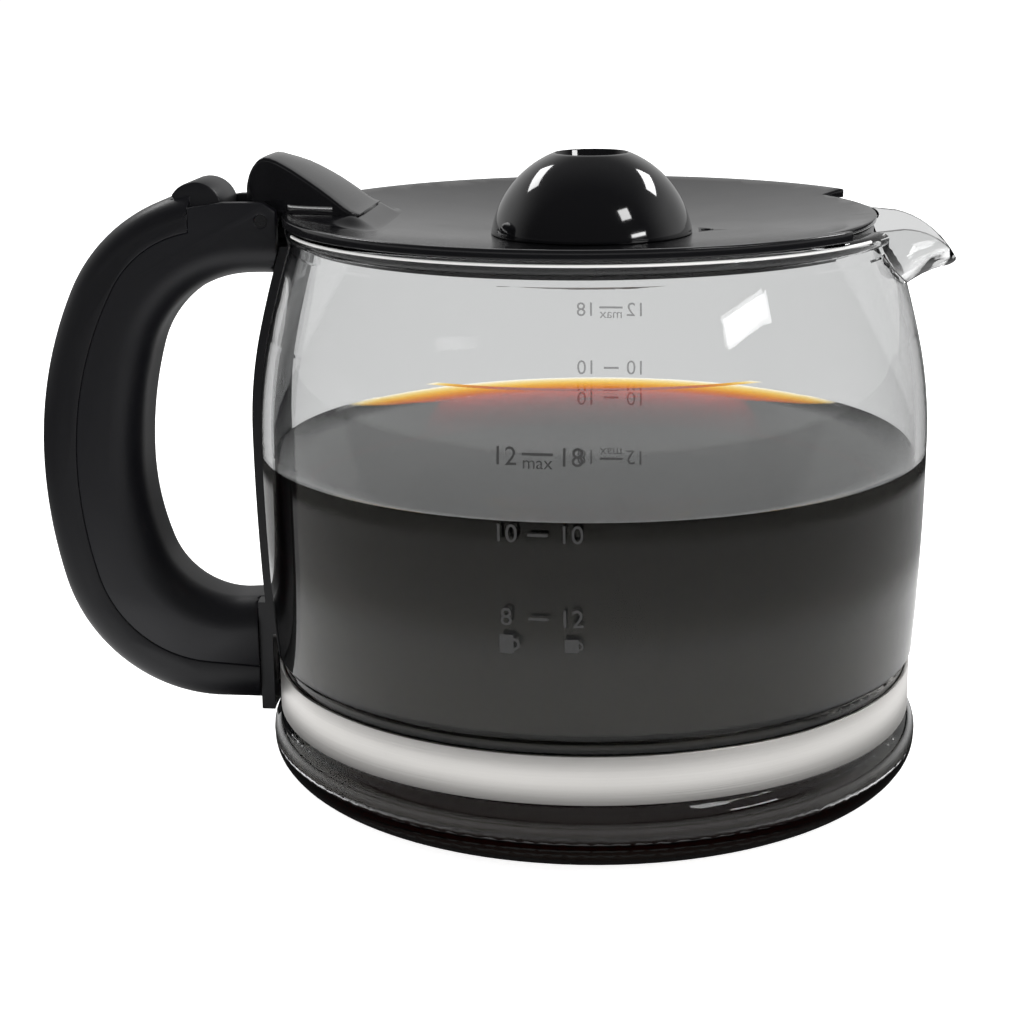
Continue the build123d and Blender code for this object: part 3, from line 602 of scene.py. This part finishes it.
def makeCoffeeFill():
    # the side reaches just into the inner wall, so that no air shows between glass and coffee
    low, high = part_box("coffee")
    tree = treeOf("coffee")
    wet = coffeeFill["wet"]
    profile = [(0, low.z - wet)]
    for level in range(coffeeFill["levels"] + 1):
        share = level / coffeeFill["levels"]
        height = low.z + 0.05 * mm + (high.z - low.z - 0.1 * mm) * share ** 1.6
        sink = wet * max(0, 1 - 4 * share)
        profile.append((sideRadius(tree, height) + wet, height - sink))
    edge = profile[-1][0]
    top = high.z
    profile.append((edge, top + coffeeFill["climb"]))
    for step in range(1, coffeeFill["curve"] + 1):
        share = step / coffeeFill["curve"]
        rise = coffeeFill["climb"] * (1 - share) ** 2.3
        profile.append((edge - coffeeFill["creep"] * share, top + rise))
    profile.append((0, top))
    bm = spinProfile(profile, coffeeFill["steps"])
    newPiece("coffee_fill", bm, coffee, "jug", ("coffee",), smoothAngle=40)


makeCoffeeFill()
print("coffee poured")


# printed cup scale, on both sides of the glass
cupScale = {
    "thickness": 0.05 * mm,
    "lift": 0.04 * mm,
    "digitSize": 5.4 * mm,
    "wordSize": 3.7 * mm,
    "spread": 6.8 * mm,
    "dash": (4.1 * mm, 0.55 * mm),
    "longDash": (6.3 * mm, 0.55 * mm),
    "rows": [("12", "18", 93.6 * mm), ("10", "10", 77.6 * mm), ("8", "12", 59.7 * mm)],
    "iconDrop": 5.7 * mm,
    "sides": {"cup_scale_front": (-93.4, 0.0, frontInk), "cup_scale_back": (90.9, 4.6 * mm, backInkPaintedLight)},
}


def addText(bm, words, size, centre, height):
    curve = bpy.data.curves.new("scaleWord", "FONT")
    curve.body = words
    curve.size = size
    curve.align_x = "CENTER"
    curve.align_y = "CENTER"
    curve.resolution_u = 5
    holder = bpy.data.objects.new("scaleWord", curve)
    mesh = bpy.data.meshes.new_from_object(holder)
    mesh.transform(Matrix.Translation((centre, height, 0)))
    bm.from_mesh(mesh)
    bpy.data.objects.remove(holder)
    bpy.data.curves.remove(curve)
    bpy.data.meshes.remove(mesh)


def addBar(bm, size, centre, height):
    place = Matrix.Translation((centre, height, 0)) @ Matrix.Diagonal((size[0] / 2, size[1] / 2, 1, 1))
    bmesh.ops.create_grid(bm, x_segments=6, y_segments=1, size=1, matrix=place)


def addCup(bm, width, tall, centre, height):
    # a flat cup with a ring handle on its right
    addBar(bm, (width, tall), centre, height)
    reach = tall * 0.30
    start = bm.verts.new((centre + width / 2, height + reach * 1.15, 0))
    end = bm.verts.new((centre + width / 2, height + reach * 0.65, 0))
    edge = bm.edges.new((start, end))
    bmesh.ops.spin(
        bm, geom=[start, end, edge], cent=(centre + width / 2, height, 0), axis=(0, 0, 1),
        angle=-math.pi, steps=10, use_merge=False,
    )


def makeScale(name, azimuth, lift, ink):
    tree = treeOf("glass_jug")
    bm = bmesh.new()
    for row, (left, right, height) in enumerate(cupScale["rows"]):
        addText(bm, left, cupScale["digitSize"], -cupScale["spread"], height)
        addText(bm, right, cupScale["digitSize"], cupScale["spread"], height)
        if row:
            addBar(bm, cupScale["dash"], 0, height)
        else:
            addBar(bm, cupScale["longDash"], 0, height + 0.7 * mm)
            addText(bm, "max", cupScale["wordSize"], 0, height - 1.1 * mm)
    low = cupScale["rows"][-1][2] - cupScale["iconDrop"]
    addCup(bm, 2.9 * mm, 4.0 * mm, -cupScale["spread"], low)
    addCup(bm, 2.9 * mm, 2.9 * mm, cupScale["spread"], low)
    for vert in bm.verts:
        height = vert.co.y + lift
        turn = math.radians(azimuth) + vert.co.x / sideRadius(tree, height)
        radius = sideRadius(tree, height, turn) + cupScale["lift"]
        vert.co = (radius * math.cos(turn), radius * math.sin(turn), height)
    bmesh.ops.recalc_face_normals(bm, faces=bm.faces)
    for face in bm.faces:
        centre = face.calc_center_median()
        if face.normal.dot(Vector((centre.x, centre.y, 0))) < 0:
            face.normal_flip()
    bmesh.ops.solidify(bm, geom=bm.faces, thickness=cupScale["thickness"])
    newPiece(name, bm, ink, "jug")


for scaleName, (azimuth, lift, ink) in cupScale["sides"].items():
    makeScale(scaleName, azimuth, lift, ink)
print("scales printed")


# studio: floor, light and camera
studio = {
    "floorHalf": 6.0,
    "floorColour": (0.85, 0.85, 0.85),
    "floorGlow": 0.88,
    "floorThroughGlass": 0.85,
    "floorNearPaintedGlow": 1.5,
    "floorInGloss": (1.0, 0.45, 0.03),
    "backdrop": 1.05,
    "backdropThroughGlass": 0.87,
    "backdropOnMatt": 0.9,
    # brightness low down and higher up, and the heights between which it changes
    "behind": (0.52, 0.15),
    "behindHeights": (0.35, 0.85),
    "front": (0.75, 0.06),
    "frontHeights": (0.02, 0.14),
    "frontToBehind": (-0.35, 0.45),
    # distances from the jug's axis in metres, where a painted shade or painted glow on the floor starts
    # and ends
    "underShade": (0.072, 0.088),
    "glossShade": (0.085, 0.13),
    "glossFade": (0.18, 0.235),
    "glossEdge": (0.315, 0.34),
    "throughEdge": (0.33, 0.36),
    "throughLoss": 0.85,
    "frontPart": (-0.16, -0.10),
    "underInGloss": 0.02,
    "nearFade": (0.15, 0.30),
    "cameraPlace": (0.0426, -0.5033, 0.19485),
    "cameraHeading": 7.0,
    "cameraPitch": -14.678,
    "cameraRoll": -0.68,
    "lens": 77.22,
}
# name: heading and height in degrees, distance, width, height, brightness
softboxes = {
    "softboxBackLeft": (141, 41, 1.2, 0.5, 0.2, 8),
    "softboxBackRight": (42, 40, 1.2, 0.5, 0.2, 11),
    "softboxFront": (-38, 40, 1.2, 0.24, 0.24, 11),
    "windowBox": (-29, 17.1, 1.3, 0.40, 0.075, 14),
}


def mapRange(tree, source, start, end, low, high, kind="SMOOTHSTEP"):
    node = addNode(tree, "ShaderNodeMapRange", interpolation_type=kind)
    node.inputs["From Min"].default_value = start
    node.inputs["From Max"].default_value = end
    node.inputs["To Min"].default_value = low
    node.inputs["To Max"].default_value = high
    tree.links.new(source, node.inputs["Value"])
    return node.outputs["Result"]


def multiply(tree, first, second):
    node = addNode(tree, "ShaderNodeMath", operation="MULTIPLY")
    tree.links.new(first, node.inputs[0])
    tree.links.new(second, node.inputs[1])
    return node.outputs["Value"]


def glowShader(tree, strength):
    glow = addNode(tree, "ShaderNodeEmission")
    if isinstance(strength, (int, float)):
        glow.inputs["Strength"].default_value = strength
    else:
        tree.links.new(strength, glow.inputs["Strength"])
    return glow.outputs["Emission"]


def mixShader(tree, share, first, second):
    mix = addNode(tree, "ShaderNodeMixShader")
    tree.links.new(share, mix.inputs["Fac"])
    tree.links.new(first, mix.inputs[1])
    tree.links.new(second, mix.inputs[2])
    return mix.outputs["Shader"]


def makeFloor():
    # pale paper, lit up where it is looked at and calmer in reflections, with a painted shadow under the
    # jug and a painted glow round it where the glass shows the floor
    bm = bmesh.new()
    bmesh.ops.create_grid(bm, x_segments=1, y_segments=1, size=studio["floorHalf"])
    mesh = bpy.data.meshes.new("floor")
    bm.to_mesh(mesh)
    bm.free()
    material, tree, shader = newMaterial("floorPaper")
    place = addNode(tree, "ShaderNodeTexCoord")
    fibres = addNode(tree, "ShaderNodeTexNoise")
    fibres.inputs["Scale"].default_value = 300
    tree.links.new(place.outputs["Object"], fibres.inputs["Vector"])
    bumpTo(tree, shader, fibres.outputs["Fac"], 0.05, 0.0002)
    shader.inputs["Base Color"].default_value = (*studio["floorColour"], 1)
    shader.inputs["Roughness"].default_value = 0.9
    shader.inputs["Specular IOR Level"].default_value = 0.1
    total = addNode(tree, "ShaderNodeAddShader")
    tree.links.new(shader.outputs["BSDF"], total.inputs[0])
    tree.links.new(glowShader(tree, studio["floorGlow"]), total.inputs[1])
    away = addNode(tree, "ShaderNodeVectorMath", operation="LENGTH")
    tree.links.new(place.outputs["Object"], away.inputs[0])
    distance = away.outputs["Value"]
    # painted shadow under the jug, for rays that pass through the glass
    shade = mapRange(tree, distance, *studio["underShade"], 0.0, 1.0)
    near, far = studio["floorNearPaintedGlow"], studio["floorThroughGlass"]
    # painted glow: the floor seen through the glass is brighter near the jug and fades further out
    fade = mapRange(tree, distance, *studio["nearFade"], near, far)
    through = multiply(tree, shade, fade)
    bright, calm, dark = studio["floorInGloss"]
    # painted shade: the part in front of the jug, as the glass mirrors it, ends in the dark
    across = addNode(tree, "ShaderNodeSeparateXYZ")
    tree.links.new(place.outputs["Object"], across.inputs["Vector"])
    inFront = mapRange(tree, across.outputs["Y"], *studio["frontPart"], 1.0, 0.0)
    beyond = mapRange(tree, distance, *studio["throughEdge"], 0.0, studio["throughLoss"])
    left = addNode(tree, "ShaderNodeMath", operation="SUBTRACT")
    left.inputs[0].default_value = 1
    tree.links.new(multiply(tree, inFront, beyond), left.inputs[1])
    through = multiply(tree, through, left.outputs["Value"])
    # painted shade and light for reflections: dark under the jug, bright round it, calmer further out and
    # dark at the far edge
    inGloss = mapRange(tree, distance, *studio["glossShade"], studio["underInGloss"], bright)
    for stretch, low, high in (("glossFade", 1, calm / bright), ("glossEdge", 1, dark / calm)):
        inGloss = multiply(tree, inGloss, mapRange(tree, distance, *studio[stretch], low, high))
    rays = addNode(tree, "ShaderNodeLightPath").outputs
    seen = mixShader(tree, rays["Is Camera Ray"], shader.outputs["BSDF"], total.outputs["Shader"])
    seen = mixShader(tree, rays["Is Glossy Ray"], seen, glowShader(tree, inGloss))
    seen = mixShader(tree, rays["Is Transmission Ray"], seen, glowShader(tree, through))
    tree.links.new(seen, tree.nodes["Material Output"].inputs["Surface"])
    mesh.materials.append(material)
    floor = bpy.data.objects.new("floor", mesh)
    bpy.context.scene.collection.objects.link(floor)


def makeWorld():
    # white to look at, and for gloss a paler wall behind, a light strip in front and dark above it
    world = bpy.data.worlds.new("studioWorld")
    bpy.context.scene.world = world
    world.use_nodes = True
    tree = world.node_tree
    way = addNode(tree, "ShaderNodeTexCoord")
    split = addNode(tree, "ShaderNodeSeparateXYZ")
    tree.links.new(way.outputs["Generated"], split.inputs["Vector"])
    behind = mapRange(tree, split.outputs["Z"], *studio["behindHeights"], *studio["behind"])
    front = mapRange(tree, split.outputs["Z"], *studio["frontHeights"], *studio["front"])
    side = mapRange(tree, split.outputs["Y"], *studio["frontToBehind"], 0.0, 1.0)
    both = addNode(tree, "ShaderNodeMix", data_type="FLOAT")
    tree.links.new(side, both.inputs["Factor"])
    tree.links.new(front, both.inputs["A"])
    tree.links.new(behind, both.inputs["B"])
    lamp = tree.nodes["Background"]
    lamp.inputs["Color"].default_value = (1, 1, 1, 1)
    tree.links.new(both.outputs["Result"], lamp.inputs["Strength"])
    rays = addNode(tree, "ShaderNodeLightPath")
    seen = lamp.outputs["Background"]
    for ray, strength in (
        ("Is Camera Ray", studio["backdrop"]),
        ("Is Diffuse Ray", studio["backdropOnMatt"]),
        ("Is Transmission Ray", studio["backdropThroughGlass"]),
    ):
        plain = addNode(tree, "ShaderNodeBackground")
        plain.inputs["Color"].default_value = (1, 1, 1, 1)
        plain.inputs["Strength"].default_value = strength
        seen = mixShader(tree, rays.outputs[ray], seen, plain.outputs["Background"])
    tree.links.new(seen, tree.nodes["World Output"].inputs["Surface"])


def addSoftbox(name, heading, rise, distance, width, tall, brightness):
    light = bpy.data.lights.new(name, "AREA")
    light.shape = "RECTANGLE"
    light.size = width
    light.size_y = tall
    light.energy = brightness * math.pi * width * tall
    target = Vector((0, 0, cadHigh.z * 0.8))
    way = Vector((
        math.cos(math.radians(rise)) * math.cos(math.radians(heading)),
        math.cos(math.radians(rise)) * math.sin(math.radians(heading)),
        math.sin(math.radians(rise)),
    ))
    box = bpy.data.objects.new(name, light)
    box.location = target + way * distance
    box.rotation_euler = (-way).to_track_quat("-Z", "Y").to_euler()
    bpy.context.scene.collection.objects.link(box)


def makeCamera():
    camera = bpy.data.cameras.new("camera")
    camera.lens = studio["lens"]
    camera.sensor_width = 36
    camera.clip_start = 0.01
    eye = bpy.data.objects.new("camera", camera)
    eye.matrix_world = (
        Matrix.Translation(studio["cameraPlace"])
        @ Matrix.Rotation(math.radians(studio["cameraHeading"]), 4, "Z")
        @ Matrix.Rotation(math.radians(90 + studio["cameraPitch"]), 4, "X")
        @ Matrix.Rotation(math.radians(studio["cameraRoll"]), 4, "Z")
    )
    bpy.context.scene.collection.objects.link(eye)
    bpy.context.scene.camera = eye


makeFloor()
makeWorld()
for boxName, settings in softboxes.items():
    addSoftbox(boxName, *settings)
makeCamera()
bpy.context.scene.view_settings.view_transform = "Standard"
print("studio set")
